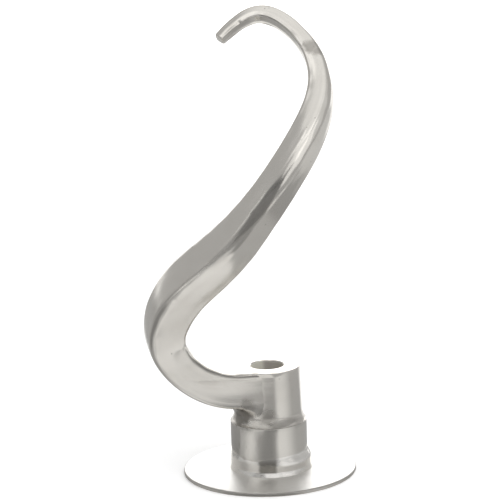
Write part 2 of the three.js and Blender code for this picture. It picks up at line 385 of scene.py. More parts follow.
def add_softbox(name, direction, height_angle, distance, width, height, brightness):
    """An area lamp facing the middle of the hook; power = brightness x pi x its area in metres."""
    away = studio_direction(direction, height_angle)
    data = bpy.data.lights.new(name, "AREA")
    data.shape = "RECTANGLE"
    data.size, data.size_y = width * MM, height * MM
    data.energy = brightness * math.pi * width * MM * height * MM
    lamp = bpy.data.objects.new(name, data)
    lamp.location = Vector(HUB * MM) + Vector((0, 0, LAMP_AIM * MM)) + away * distance * MM
    lamp.rotation_euler = away.to_track_quat("Z", "Y").to_euler()
    bpy.context.scene.collection.objects.link(lamp)
    return lamp


def stand_card(name, direction, height_angle, distance, width, height, tone):
    """A flat card facing the middle of the hook: its corners are the middle, plus and minus half the
    width sideways and half the height along the card's own upright."""
    away = studio_direction(direction, height_angle)
    sideways = Vector((0, 0, 1)).cross(away).normalized()
    upwards = away.cross(sideways)
    middle = away * distance + Vector((0, 0, LAMP_AIM))
    corners = [middle + sideways * width / 2 * x + upwards * height / 2 * y for x, y in SQUARE]
    hold_card(name, corners, matt_card(name, tone))


for softbox in SOFTBOXES:
    add_softbox(*softbox)
add_softbox(*FILL_LIGHT).visible_glossy = False
for card in STANDING_CARDS:
    stand_card(*card)

world = bpy.data.worlds.new("studio")
world.use_nodes = True
bpy.context.scene.world = world
background = world.node_tree.nodes["Background"]
background.inputs["Color"].default_value = linear("#ffffff")
seen = add(world.node_tree, "LightPath").outputs["Is Camera Ray"]
level = add(world.node_tree, "Math", MULTIPLY_ADD, seen, 1 - WORLD_LEVEL, WORLD_LEVEL)
world.node_tree.links.new(level.outputs["Value"], background.inputs["Strength"])
bpy.context.scene.view_settings.view_transform = "Standard"
print(len(SOFTBOXES), "softboxes, a fill and", len(STANDING_CARDS), "standing cards")

# %% [markdown]
# ## Meshes from grids
# Each surface is a grid of points worked out as whole numpy arrays. Turned pieces sweep a profile
# round the axis, and the arm sweeps a section along a curve, so both need the same two helpers: one
# that joins neighbours on the grid into quads, and one that makes the piece with its grain.

# %% Grid and mesh helpers
ROUND_STEPS = 256


def grid_faces(rows, columns, closed_rows=False):
    """Quads (i, j), (i, j+1), (i+1, j+1), (i+1, j) of a grid whose columns run all the way round;
    with closed_rows the last row joins the first as well."""
    last = rows if closed_rows else rows - 1
    i, j = np.meshgrid(np.arange(last), np.arange(columns), indexing="ij")
    below, beside = (i + 1) % rows, (j + 1) % columns
    corners = [i * columns + j, i * columns + beside, below * columns + beside, below * columns + j]
    return np.stack(corners, -1).reshape(-1, 4)


def make_piece(name, points, faces, caps=(), grain=None):
    """A piece from a grid and its end caps. grain gives each point a place in the finish's own
    directions, in mm. It is kept on the corners of faces, because those values survive a Boolean."""
    piece = new_object(name, points, faces.tolist() + [list(cap) for cap in caps])
    mesh = piece.data
    mesh.validate()
    if grain is not None:
        corners = np.empty(len(mesh.loops), np.int32)
        mesh.loops.foreach_get("vertex_index", corners)
        kept = mesh.attributes.new("grain", "FLOAT_VECTOR", "CORNER")
        kept.data.foreach_set("vector", np.asarray(grain, np.float32)[corners].ravel())
    return piece


def arc(centre_radius, centre_height, size, start, stop, steps):
    """Points of an arc in the profile plane: radius = centre + size cos(angle), height = centre + size
    sin(angle), with the angle in degrees going evenly from start to stop."""
    angle = np.radians(np.linspace(start, stop, steps + 1))
    return np.stack([centre_radius + size * np.cos(angle), centre_height + size * np.sin(angle)], -1)


def fine_profile(*parts, step):
    """One profile from points and arcs in order, with a point every step mm on the straight runs."""
    corners = np.vstack([np.atleast_2d(part) for part in parts])
    runs = []
    for start, stop in zip(corners[:-1], corners[1:]):
        count = max(1, int(np.ceil(np.linalg.norm(stop - start) / step)))
        runs.append(start + (stop - start) * np.arange(count)[:, None] / count)
    return np.vstack(runs + [corners[-1:]])


def turned_points(profile, swell=None):
    """Surface of revolution: point (i, j) = (r cos a, r sin a, h) for profile point (r, h) and angle
    a = 2 pi j / steps. swell(height, angle) may add to the radius."""
    angle = np.linspace(0, 2 * np.pi, ROUND_STEPS, endpoint=False)[None, :]
    radius, height = profile[:, :1], profile[:, 1:]
    if swell is not None:
        radius = radius + swell(height, angle)
    x, y = radius * np.cos(angle), radius * np.sin(angle)
    return np.stack([x, y, np.broadcast_to(height, x.shape)], -1).reshape(-1, 3)


print("a 3 x 4 grid has", len(grid_faces(3, 4)), "quads")

# %% [markdown]
# ## The arm's path
# The arm leaves the boss sideways, level with its end face, bends up and forward, crosses in front
# of the hub's axis and curls back over to a small cut tip. A founder would loft it through templates
# at stations. Here a natural cubic spline goes through eleven stations, each with its place and the
# side of the square bar there, so the taper is as smooth as the path.

# %% Stations and spline
ROOT_SIDE = 19.5
ROOT_REACH = 27.5
ARM_RISE = 197.5
BOSS_RADIUS = 18.8
DRAFT_ANGLE = 1.5
DRAFT_SLOPE = math.tan(math.radians(DRAFT_ANGLE))
ROOT_SINK = 0.5
ROOT_BELOW = 0.3
ROOT_BACK = ROOT_SIDE / 2 + ROOT_SINK - BOSS_RADIUS - ROOT_SIDE / 2 * DRAFT_SLOPE
ROOT_UP = -(ROOT_SIDE / 2 + ROOT_BELOW)

# Sideways, back, up from the boss's end face, side of the square bar, radius of its outer ridge, and
# how far its front edge falls away.
STATIONS = np.array([
    [0, ROOT_BACK, ROOT_UP, ROOT_SIDE, 2.4, 3.6],
    [-ROOT_REACH, ROOT_BACK, ROOT_UP, 20, 2.4, 3.6],
    [-56.8, -5.5, 0.078 * ARM_RISE, 20.5, 3.2, 2.8],
    [-51, -14, 0.213 * ARM_RISE, 22, 5.0, 1.8],
    [-24.5, -31, 0.365 * ARM_RISE, 21.5, 6.6, 1.4],
    [0, -42, 0.516 * ARM_RISE, 17.5, 6.6, 1.4],
    [24, -29.5, 0.684 * ARM_RISE, 16, 6.0, 1.4],
    [34.7, -3, 0.82 * ARM_RISE, 12.8, 4.6, 1.4],
    [24.5, 17.5, 0.942 * ARM_RISE, 9.5, 3.0, 1.4],
    [1.5, 29, ARM_RISE, 8.5, 2.4, 1.4],
    [-21, 21, 0.937 * ARM_RISE, 6, 1.6, 1.2],
])


def natural_spline(knots, values, at):
    """Natural cubic spline and its slope. The second derivatives m solve, at each inner knot,
    before m[i-1] + 2 (before + after) m[i] + after m[i+1] = 6 (slope after - slope before), and are
    zero at both ends; between knots the curve is the straight line plus (a^3 - a) and (b^3 - b) terms."""
    gap = np.diff(knots)
    slope = np.diff(values, axis=0) / gap[:, None]
    size = len(knots)
    system = np.eye(size)
    inner = np.arange(1, size - 1)
    system[inner, inner - 1] = gap[:-1]
    system[inner, inner] = 2 * (gap[:-1] + gap[1:])
    system[inner, inner + 1] = gap[1:]
    right_side = np.zeros_like(values)
    right_side[1:-1] = 6 * np.diff(slope, axis=0)
    bend = np.linalg.solve(system, right_side)
    i = np.clip(np.searchsorted(knots, at) - 1, 0, size - 2)
    span = gap[i][:, None]
    b = (at - knots[i])[:, None] / span
    a = 1 - b
    curve = a * values[i] + b * values[i + 1]
    curve = curve + ((a ** 3 - a) * bend[i] + (b ** 3 - b) * bend[i + 1]) * span ** 2 / 6
    rate = slope[i] + ((3 * b ** 2 - 1) * bend[i + 1] - (3 * a ** 2 - 1) * bend[i]) * span / 6
    return curve, rate


station_places = STATIONS[:, :3] + [0, 0, BOSS_TOP]
knots = np.concatenate([[0], np.cumsum(np.linalg.norm(np.diff(station_places, axis=0), axis=1))])
ARM_LENGTH = knots[-1]
print("arm is about", round(ARM_LENGTH), "mm long")

# %% [markdown]
# ## The bar's section
# The bar is a square whose corners the polisher has rounded by different amounts: broad on the outer
# ridge, tight on the front edge. Its flats are ground against a belt, so each one swells by a few
# tenths of a millimetre. That crown makes reflections sweep across a face instead of filling it.

# %% Section of the bar
# Radii of the edges that shrink with the bar, as shares of its side.
FRONT_EDGE = 1.2 / ROOT_SIDE
INNER_EDGE = 3.0 / ROOT_SIDE
BACK_EDGE = 2.4 / ROOT_SIDE
CORNER_STEPS = 9
FLAT_STEPS = 12
FLAT_CROWN = 0.3
# Share of the crown that the front, inner, back and outer faces have.
FACE_CROWNS = (1.0, 1.0, 1.0, 0.45)
# The crown grows from nothing over this much of the root.
ROOT_CALM = 32.0


def smooth_step(value):
    """0 below 0, 1 above 1, and 3v^2 - 2v^3 between, which starts and ends without a kink."""
    value = np.clip(value, 0, 1)
    return value * value * (3 - 2 * value)


def bar_sections(side, ridge, fall, crown):
    """Points round the section in half-sides (outer, front), one row for each place along the arm.
    Each quarter is an arc of its corner's radius, then a flat to the next corner that bulges outwards
    by crown (1 - s^2)^2, s from -1 to 1. The ridge's radius and the front edge's fall change along the
    arm; the other edges shrink with the bar. The front edge is an ellipse, so it falls away early."""
    corners = [(1, 1, ridge / side, ridge / side),
               (-1, 1, fall / side, FRONT_EDGE),
               (-1, -1, INNER_EDGE, INNER_EDGE),
               (1, -1, BACK_EDGE, BACK_EDGE)]
    arcs = []
    for quarter, (outer, front, outer_share, front_share) in enumerate(corners):
        across, along = [np.broadcast_to(2 * share, side.shape)[:, None]
                         for share in (outer_share, front_share)]
        angle = np.radians(np.linspace(90 * quarter, 90 * quarter + 90, CORNER_STEPS + 1))
        arcs.append(np.stack([outer * (1 - across) + across * np.cos(angle),
                              front * (1 - along) + along * np.sin(angle)], -1))
    along = np.linspace(0, 1, FLAT_STEPS + 2)[1:-1, None]
    bulge = (1 - (2 * along - 1) ** 2) ** 2
    rows = []
    for quarter in range(4):
        start, stop = arcs[quarter][:, -1:], arcs[(quarter + 1) % 4][:, :1]
        face = math.radians(90 * quarter + 90)
        outwards = np.array([math.cos(face), math.sin(face)])
        lifted = (2 * FACE_CROWNS[quarter] * crown / side)[:, None, None] * bulge * outwards
        rows += [arcs[quarter], start + (stop - start) * along + lifted]
    return np.concatenate(rows, axis=1)


AROUND = 4 * (CORNER_STEPS + 1 + FLAT_STEPS)
print("section has", AROUND, "points")

# %% [markdown]
# ## Carrying the section along the path
# The section must not spin by accident, so its frame is carried without rolling: each step turns it
# only as much as the tangent turns. The casting's real twist, sixty degrees from root to tip, is then
# added evenly. Rows are closer together near the boss, where the fillet needs them.

# %% Sweep the arm
ARM_TWIST = 60.0
TIP_CHAMFER = 0.5
ROOT_ROWS = 150
FREE_ROWS = 470
ROOT_END = 34.0


def unit(vectors):
    """Vectors scaled to length one."""
    return vectors / np.linalg.norm(vectors, axis=-1, keepdims=True)


def carried_frame(tangents, first):
    """Directions across the path that never roll: each is the one before, less its share along the
    new tangent, scaled back to length one."""
    across = [unit(first - tangents[0] * (first @ tangents[0]))]
    for tangent in tangents[1:]:
        across.append(unit(across[-1] - tangent * (across[-1] @ tangent)))
    return np.array(across)


def sweep_arm():
    """Grid of points, outward directions and grain. A point is centre + half side (outer o + front f),
    where (o, f) is the section point and outer, front are the carried directions turned by the twist.
    Its grain is the distance along the arm and its place in the section, so lines run lengthwise."""
    near = np.linspace(0, ROOT_END, ROOT_ROWS, endpoint=False)
    free = np.linspace(ROOT_END, ARM_LENGTH - TIP_CHAMFER, FREE_ROWS)
    at = np.concatenate([near, free, [ARM_LENGTH]])
    curve, rate = natural_spline(knots, np.column_stack([station_places, STATIONS[:, 3:]]), at)
    centre, half = curve[:, :3], curve[:, 3:4] / 2
    section = bar_sections(curve[:, 3], curve[:, 4], curve[:, 5], FLAT_CROWN * smooth_step(at / ROOT_CALM))
    half[-1] -= TIP_CHAMFER
    tangent = unit(rate[:, :3])
    across = carried_frame(tangent, np.array([0.0, 0.0, -1.0]))
    beside = np.cross(tangent, across)
    twist = np.radians(DRAFT_ANGLE + ARM_TWIST * at / ARM_LENGTH)[:, None]
    outer = across * np.cos(twist) + beside * np.sin(twist)
    front = np.cross(tangent, outer)
    o, f = section[..., :1], section[..., 1:]
    points = centre[:, None] + half[:, None] * (outer[:, None] * o + front[:, None] * f)
    around = np.roll(points, -1, 1) - np.roll(points, 1, 1)
    outwards = unit(np.cross(around, np.broadcast_to(tangent[:, None], around.shape)))
    outwards *= np.sign((outwards * (points - centre[:, None])).sum(-1, keepdims=True))
    grain = np.concatenate([np.broadcast_to(at[:, None, None], o.shape), half[:, None] * section], -1)
    return at, points, outwards, grain


arm_at, arm_points, arm_outwards, arm_grain = sweep_arm()
print("arm grid", arm_points.shape[:2], "spans", np.ptp(arm_points.reshape(-1, 3), axis=0).round(1))

# %% [markdown]
# ## Fillet at the root
# Castings have no sharp inside corners: sand would break out there and the corner would crack. The
# arm swells into the boss through a round of two and a half millimetres, and of seven underneath,
# where the load is. It is made by pushing the arm's points outwards along a circle's arc as they near
# the boss, and not at all on top, where the arm's face runs on into the boss.

# %% Swell the root into the boss
FILLET = 2.6
UNDER_FILLET = 7.0
FILLET_REACH = 0.985
# How fast the fillet grows as a face turns down, and shrinks as it turns up.
DOWN_GAIN = 1.3
UP_GAIN = 2.0
# The root's top is skimmed level where its outward direction points up by more than this.
SKIM_LENGTH = 14.0
SKIM_STEP = 0.03
SKIM_LEVEL = 0.9
SKIM_BLEND = 0.09
TINY = 1e-9


def boss_radius(height):
    """Boss radius at a height: it widens downwards by the draft."""
    return BOSS_RADIUS + (BOSS_TOP - height) * DRAFT_SLOPE


def swell_root(points, outwards):
    """Fillet: by r - sqrt(r^2 - (r - d)^2) at a distance d < r from the boss, along the share of the
    outward direction that runs along the boss. The radius r grows as the face turns downwards. Then
    the top is skimmed level with the end face."""
    x, y, z = points[..., 0], points[..., 1], points[..., 2]
    distance = np.hypot(x, y) - boss_radius(z)
    radius = FILLET + (UNDER_FILLET - FILLET) * smooth_step(-DOWN_GAIN * outwards[..., 2])
    closeness = np.clip(radius - distance, 0, FILLET_REACH * radius)
    lift = radius - np.sqrt(radius ** 2 - closeness ** 2)
    from_axis = unit(np.stack([x, y, np.zeros_like(x)], -1) + TINY)
    along_boss = outwards - from_axis * (outwards * from_axis).sum(-1, keepdims=True)
    topside = smooth_step(outwards[..., 2] * UP_GAIN)
    moved = points + along_boss * (lift * (1 - topside))[..., None]
    upward = smooth_step((outwards[..., 2] - SKIM_LEVEL) / SKIM_BLEND)
    skim = smooth_step(1 - distance / SKIM_LENGTH) * upward
    moved[..., 2] += (BOSS_TOP - SKIM_STEP - moved[..., 2]) * skim
    return moved


arm_points = swell_root(arm_points, arm_outwards)
print("fillets of", FILLET, "and", UNDER_FILLET, "mm made")

# %% [markdown]
# ## Signs of the hand
# A hook like this is dressed on a belt by hand. The belt leaves the flats faintly wavy over a few
# centimetres, lets the ridges wander by a tenth or two, and doesn't clear every small pit left by the
# casting. Each pit is a smooth dimple of its own width and depth, pressed into the grid.

# %% Waves and pits
WAVE_DEPTH = 0.06
SLOW_WAVE = 31.0
SLOW_SHARE = 0.6
QUICK_WAVE = 12.3
QUICK_SHARE = 0.25
RIDGE_WANDER = 0.12
WANDER_WAVES = (19.0, 47.0)
# The waves start this far along the arm and are full after a blend.
WAVES_FROM = 24.0
WAVES_BLEND = 14.0
# Distance along the arm, share of the way round the section, radius and depth, all lengths in mm.
PITS = [
    (104.5, 0.085, 1.0, 0.22),
    (175.6, 0.04, 1.2, 0.40),
    (336.0, 0.835, 1.1, 0.40),
    (136.7, 0.017, 0.9, 0.12),
    (285.0, 0.858, 1.8, 0.18),
]


def hand_waves(at, count):
    """Height of the waves: two sines along the arm whose phase drifts round the section, and a wander
    that is strongest on the four ridges, where cos(4 x angle) peaks. The phases are chosen freely."""
    along = 2 * np.pi * at[:, None]
    turn = np.linspace(0, 2 * np.pi, count, endpoint=False)[None, :]
    slow = np.sin(along / SLOW_WAVE + 1.7 * np.sin(turn)) * SLOW_SHARE
    quick = np.sin(along / QUICK_WAVE + 2 * turn + 1.1) * QUICK_SHARE
    ridge = np.maximum(np.cos(4 * (turn - np.pi / 6)), 0) ** 2
    wander = np.sin(along / WANDER_WAVES[0] + 1.3) * np.sin(along / WANDER_WAVES[1])
    return WAVE_DEPTH * (slow + quick) + RIDGE_WANDER * ridge * wander


def press_pits(points, outwards, at):
    """Each pit sinks the surface by depth x exp(-(distance / radius)^2) from its middle."""
    sunk = np.zeros(points.shape[:2])
    for along, share, radius, depth in PITS:
        middle = points[np.searchsorted(at, along), int(share * points.shape[1])]
        distance = np.linalg.norm(points - middle, axis=-1)
        sunk += depth * np.exp(-(distance / radius) ** 2)
    return points - outwards * sunk[..., None]


clear_of_root = smooth_step((arm_at - WAVES_FROM) / WAVES_BLEND)[:, None]
waves = hand_waves(arm_at, AROUND) * clear_of_root
arm_points = arm_points + arm_outwards * waves[..., None]
arm_points = press_pits(arm_points, arm_outwards, arm_at)
print("waves of up to", round(float(np.abs(waves).max()), 2), "mm and", len(PITS), "pits")

# %% [markdown]
# ## Join boss and arm, then bore them
# Boss, cove and spigot are one turned profile. In the foundry they leave the mould already joined to
# the arm, so a Boolean union is the honest model, and the bore is then drilled through both, with a
# chamfer at its mouth. The meshes are closed, which is what the Manifold solver asks for.

# %% Hub, union and bore
BORE_RADIUS = 9.5
BORE_CHAMFER = 0.5
RIM_ROUND = 0.4
COVE_HEIGHT = 5.6
SEAM_STEP = 0.12
SEAM_ROUND = 0.25
SPIGOT_WALL = 5.3
SPIGOT_RADIUS = BORE_RADIUS + SPIGOT_WALL
COVE_RADIUS = SLEEVE_RADIUS - SEAM_STEP


def boolean(piece, tool, operation):
    """Joins the tool to the piece or cuts the piece by it, keeps the result without the empty material
    slot that a Boolean adds, and deletes the tool."""
    modifier = piece.modifiers.new(operation, "BOOLEAN")
    modifier.object, modifier.operation, modifier.solver = tool, operation, "MANIFOLD"
    bpy.context.view_layer.update()
    made = bpy.data.meshes.new_from_object(piece.evaluated_get(bpy.context.evaluated_depsgraph_get()))
    made.materials.clear()
    piece.modifiers.clear()
    piece.data = made
    bpy.data.objects.remove(tool)


def capped_tube(name, points, around, grain=None):
    """A solid whose rows of points each run round it, closed by a flat cap at each end."""
    rows = len(points) // around
    first = np.arange(around)
    last = first + (rows - 1) * around
    return make_piece(name, points, grid_faces(rows, around), [first[::-1], last], grain)


def turned_solid(name, profile):
    """A capped solid of revolution. Its grain's lines run round the axis, so they change with height
    only, and x stands for the slow direction."""
    points = turned_points(profile)
    return capped_tube(name, points, ROUND_STEPS, points * [1, 0, 0] + points[:, 2:] * [0, 1, 0])


def smooth_shading(piece, angle=32.0):
    """Smooth faces, with edges sharper than the angle left crisp."""
    piece.data.shade_smooth()
    piece.data.set_sharp_from_angle(angle=math.radians(angle))


def cove_profile(steps):
    """The foot of the boss flares to the sleeve's radius. For a share s of the way down, the flare is
    0.75 s^1.5 + 0.25 s^8 of its reach: an even slope, then a small lip."""
    share = np.linspace(1, 0, steps + 1)
    height = SLEEVE_TOP + COVE_HEIGHT + share * (SEAM_ROUND - COVE_HEIGHT)
    top_radius = boss_radius(SLEEVE_TOP + COVE_HEIGHT)
    flare = 0.75 * share ** 1.5 + 0.25 * share ** 8
    return np.stack([top_radius + (COVE_RADIUS - top_radius) * flare, height], -1)


hub_profile = fine_profile(
    [SPIGOT_RADIUS, SPIGOT_END],
    [SPIGOT_RADIUS, SLEEVE_TOP],
    arc(COVE_RADIUS - SEAM_ROUND, SLEEVE_TOP + SEAM_ROUND, SEAM_ROUND, 270, 350, 4),
    cove_profile(30),
    arc(BOSS_RADIUS - RIM_ROUND, BOSS_TOP - RIM_ROUND, RIM_ROUND, 0, 90, 5),
    step=0.8)
casting = turned_solid("polished_casting", hub_profile)
boolean(casting, capped_tube("arm", arm_points.reshape(-1, 3), AROUND, arm_grain.reshape(-1, 3)), "UNION")

bore_profile = np.array([
    [BORE_RADIUS, SPIGOT_END - 1],
    [BORE_RADIUS, BOSS_TOP - BORE_CHAMFER],
    [BORE_RADIUS + BORE_CHAMFER + 1, BOSS_TOP + 1],
])
boolean(casting, turned_solid("bore", bore_profile), "DIFFERENCE")
smooth_shading(casting)
print("casting has", len(casting.data.vertices), "points and", len(casting.data.polygons), "faces")

# %% [markdown]
# ## Sleeve
# The sleeve is turned from bar: a plain collar with its top edge just broken. Inside it are two
# L-shaped slots. The shaft's cross pin rises in the straight leg and locks at the end of the turned
# one. They show only from below, but they are what holds the hook on.

# %% Turn the sleeve and cut its slots
PIN_SLOT = 6.6
PIN_REACH = 3.2
LOCK_HEIGHT = 11.0
LOCK_TURN = 90.0
SLOT_STEPS = 40
SLEEVE_SPIGOT_WALL = 6.3
SLEEVE_SPIGOT = BORE_RADIUS + SLEEVE_SPIGOT_WALL
FIT_GAP = 0.2
END_GAP = 0.3


def ring(name, profile, swell=None):
    """A turned ring from a closed profile that goes round its section anticlockwise."""
    faces = grid_faces(len(profile), ROUND_STEPS, closed_rows=True)
    return make_piece(name, turned_points(profile, swell), faces)


def prism(name, outline, low, high):
    """A solid with an outline in plan, anticlockwise, between two levels."""
    count = len(outline)
    foot = np.arange(count)
    points = np.vstack([np.column_stack([outline, np.full(count, height)]) for height in (low, high)])
    return make_piece(name, points, grid_faces(2, count), [foot[::-1], foot + count])


def slot_outlines():
    """Plan outlines of the slot's two legs: a straight one from the axis, and a sector swept from it
    to the lock, whose end wall is parallel to the pin."""
    reach, half = BORE_RADIUS + PIN_REACH, PIN_SLOT / 2
    straight = np.array([[0, -half], [reach, -half], [reach, half], [0, half]])
    outer = reach - FIT_GAP
    turn = math.radians(LOCK_TURN)
    angle = np.linspace(0, turn + math.asin(half / outer), SLOT_STEPS)
    sector = np.stack([outer * np.cos(angle), outer * np.sin(angle)], -1)
    return straight, np.vstack([sector, [[-half * math.sin(turn), half * math.cos(turn)]]])


SHELF = SPIGOT_END - END_GAP
sleeve_profile = fine_profile(
    [BORE_RADIUS, 0], [SLEEVE_SPIGOT, 0], [SLEEVE_SPIGOT, DISC_THICKNESS], [SLEEVE_RADIUS, DISC_THICKNESS],
    arc(SLEEVE_RADIUS - SEAM_ROUND, SLEEVE_TOP - SEAM_ROUND, SEAM_ROUND, 0, 90, 5),
    [SPIGOT_RADIUS + FIT_GAP, SLEEVE_TOP], [SPIGOT_RADIUS + FIT_GAP, SHELF], [BORE_RADIUS, SHELF],
    step=1.5)
sleeve = ring("turned_sleeve", sleeve_profile)
straight, sector = slot_outlines()
lock_low, lock_high = LOCK_HEIGHT - PIN_SLOT / 2, LOCK_HEIGHT + PIN_SLOT / 2
# The second slot is the first one turned half round, so both its coordinates change sign.
for sign in (1, -1):
    boolean(sleeve, prism("straight_leg", sign * straight, -END_GAP, lock_high), "DIFFERENCE")
    boolean(sleeve, prism("turned_leg", sign * sector, lock_low, lock_high), "DIFFERENCE")
smooth_shading(sleeve)
print("sleeve has", len(sleeve.data.polygons), "faces")

# %% [markdown]
# ## Disc and weld
# The disc is blanked from sheet and its rim rounded over by hand. The weld that holds it to the
# sleeve was run in short overlapping pools and then dressed, so it is a low bulge whose reach still
# rises and falls a little on its way round.

# %% Disc and weld bead
RIM_REACH = 0.8
BEAD_SINK = 0.5
BEAD_OVERLAP = 0.02
BEAD_ROWS = 41
WELD_REACH = BEAD_RADIUS - SLEEVE_RADIUS
WELD_LEAST = 0.11
WELD_SIDES = 0.76
WELD_LEAN = 0.5
WELD_START = 0.06
WELD_TOP = 15.0
WELD_FULLEST = 8.2
SKIRT_TOP = 5.2
SKIRT_SLOPE = 0.2
POOLS = 17
POOL_DEPTH = 0.12
LUMP_HEIGHT = 0.1

disc_profile = fine_profile(
    [SLEEVE_SPIGOT + FIT_GAP, 0],
    arc(DISC_RADIUS - RIM_REACH, RIM_REACH, RIM_REACH, 270, 360, 8),
    arc(DISC_RADIUS - RIM_REACH, DISC_THICKNESS - RIM_REACH, RIM_REACH, 0, 90, 8),
    [SLEEVE_SPIGOT + FIT_GAP, DISC_THICKNESS],
    step=2.0)
disc = ring("sheet_disc", disc_profile)
smooth_shading(disc)

bead_heights = np.linspace(DISC_THICKNESS - BEAD_OVERLAP, WELD_TOP, BEAD_ROWS)
bead_profile = np.vstack([
    [[SLEEVE_RADIUS - BEAD_SINK, DISC_THICKNESS - BEAD_OVERLAP]],
    np.stack([np.full_like(bead_heights, SLEEVE_RADIUS), bead_heights], -1),
    [[SLEEVE_RADIUS - BEAD_SINK, WELD_TOP]],
])


def weld_swell(height, angle):
    """How far the weld stands out of the sleeve. It rises by a smooth step to its fullest level and
    stays there, then runs out on to the disc as a cone. Its reach is greatest to the right (cos a) and
    least in front and behind (cos^2 a), and shallow overlapping pools take a little off it."""
    across = np.cos(angle)
    pools = 1 - np.abs(np.sin(POOLS / 2 * angle + 1.2 * np.sin(2 * angle + 0.7)))
    reach = WELD_REACH * (WELD_LEAST + WELD_SIDES * across ** 2 + WELD_LEAN * across)
    reach = reach - POOL_DEPTH * pools * across ** 2 + LUMP_HEIGHT * np.sin(3 * angle + 0.4)
    rise = smooth_step((WELD_TOP - height) / (WELD_TOP - WELD_FULLEST))
    skirt = np.maximum(SKIRT_TOP - height, 0) * SKIRT_SLOPE
    buried = np.arange(len(height))[:, None] % (len(height) - 1) == 0
    return np.where(buried, 0, reach * rise + skirt - WELD_START)


bead = ring("dressed_weld", bead_profile, weld_swell)
smooth_shading(bead, 60)
print("disc", len(disc.data.polygons), "faces, weld", len(bead.data.polygons), "faces")

# %% [markdown]
# ## Places for the finishes
# Every piece is stainless steel, and only the way its surface was made tells the pieces apart. When
# polished it reflects about 60% of the light and is a little warm. The satin disc, the weld and the
# bore are set lighter, to look as bright as the real ones do in this light. Each finish is noise,
# measured in millimetres. Stretched noise makes lines: long one way, and narrow across.

# %% Places and the last step of every finish
POLISHED_STEEL = "#d0cdc7"
GRAIN = {"attribute_name": "grain"}


def place_in_mm(tree):
    """Object coordinates in millimetres round the hub's axis: 1000 x place - hub."""
    place = add(tree, "TexCoord").outputs["Object"]
    return add(tree, "Mapping", Vector=place, Scale=(1 / MM,) * 3, Location=tuple(-HUB))


def noise_of(tree, vector, lengths, detail=2.0):
    """Noise whose features have these three lengths in mm: noise at vector / length, from 0 to 1."""
    scaled = add(tree, "Mapping", Vector=vector, Scale=tuple(1 / length for length in lengths))
    return add(tree, "TexNoise", Vector=scaled, Scale=1.0, Detail=detail)


def weighted_sum(tree, *pairs):
    """Sum of value x weight."""
    total = 0.0
    for value, weight in pairs:
        total = add(tree, "Math", MULTIPLY_ADD, value, weight, total)
    return total


def finish_steel(piece, material, colour, roughness, height):
    """Ends a steel and adds it to its piece. Roughness and height are sums of (value, weight) pairs,
    and the height in mm becomes a bump whose distance is one millimetre."""
    tree = material.node_tree
    bump = add(tree, "Bump", Distance=MM, Height=weighted_sum(tree, *height))
    shader = add(tree, "BsdfPrincipled", Base_Color=colour, Metallic=1.0,
                 Roughness=weighted_sum(tree, *roughness), Normal=bump)
    add(tree, "OutputMaterial", Surface=shader)
    piece.data.materials.append(material)


print("polished steel reflects", round(linear(POLISHED_STEEL)[1], 2), "of green light")

# %% [markdown]
# ## Ground and buffed cast steel
# The casting is linished on a belt along its length and then buffed with a soft mop. The belt's lines
# follow the arm, so they read the grain kept on the mesh. They are really 0.1 mm apart, and are drawn
# at 0.9 mm so that they show. The mop leaves softer patches a centimetre or two wide, and ripples that
# make the edges of reflections wander. It doesn't reach into the cove above the sleeve, which stays
# duller, and the cove is painted darker too: painted shade. Painted shade also darkens the corner under
# the arm's root, a painted dark reflection darkens two spots on the curl, and a few pinholes stay open.

# %% Casting material
BELT_LINES = (70.0, 0.9, 0.9)
MOP_PATCHES = (26.0, 11.0, 11.0)
RIPPLES = (17.0, 8.0, 8.0)
RAGGEDNESS = (4.0, 4.0, 4.0)
PINHOLE_SPACING = 7.0
PINHOLE_SIZE = 0.055
# How dull the cove is and how much painted shade darkens it, and the heights above the sleeve where
# that starts to fade and has gone.
COVE_DULLNESS_AND_SHADE = 0.25
COVE_DULL_AND_SHADED = 2.5
COVE_CLEAR = 7.0
# Painted dark spots, which are also rougher: painted shade in the corner under the arm's root (the first
# four) and a painted dark reflection on the curl (the last two). Centre in mm from the hub's axis,
# reach and strength.
PAINTED_DARK_SPOTS = [
    (-14.0, -15.0, 38.5, 8.5, 1.0), (-16.5, -11.0, 34.5, 7.0, 1.0), (-11.5, -19.5, 45.0, 5.5, 0.6),
    (-0.5, -19.6, 36.5, 7.0, 0.7), (30.5, 7.0, 244.7, 6.0, 0.7), (33.5, 5.0, 242.4, 4.5, 0.7),
]

buffed, tree = new_material("cast_stainless_ground_and_buffed")
grain = add(tree, "Attribute", GRAIN).outputs["Vector"]
place = place_in_mm(tree)
lines = noise_of(tree, grain, BELT_LINES, 3.0)
patches = noise_of(tree, place, MOP_PATCHES, 3.0)
ripples = noise_of(tree, grain, RIPPLES, 1.0)

cells = add(tree, "Mapping", Vector=place, Scale=(1 / PINHOLE_SPACING,) * 3)
nearest = add(tree, "TexVoronoi", Vector=cells, Scale=1.0)
pinholes = add(tree, "MapRange", SMOOTH, nearest, 0.4 * PINHOLE_SIZE, PINHOLE_SIZE, 1.0, 0.0)

wander = noise_of(tree, place, RAGGEDNESS)
level = add(tree, "SeparateXYZ", Vector=place).outputs["Z"]
cove = (SLEEVE_TOP + COVE_CLEAR, SLEEVE_TOP + COVE_DULL_AND_SHADED)
in_cove = add(tree, "MapRange", SMOOTH, level, *cove)
dull_and_painted_dark = weighted_sum(tree, (in_cove, COVE_DULLNESS_AND_SHADE))
for *centre, reach, strength in PAINTED_DARK_SPOTS:
    away = add(tree, "VectorMath", {"operation": "DISTANCE"}, place, tuple(centre))
    ragged = weighted_sum(tree, (away, 1.0), (wander, reach), (1.0, -reach / 2))
    spot = add(tree, "MapRange", SMOOTH, ragged, 0.35 * reach, reach, strength, 0.0)
    dull_and_painted_dark = add(tree, "Math", MAXIMUM, dull_and_painted_dark, spot)

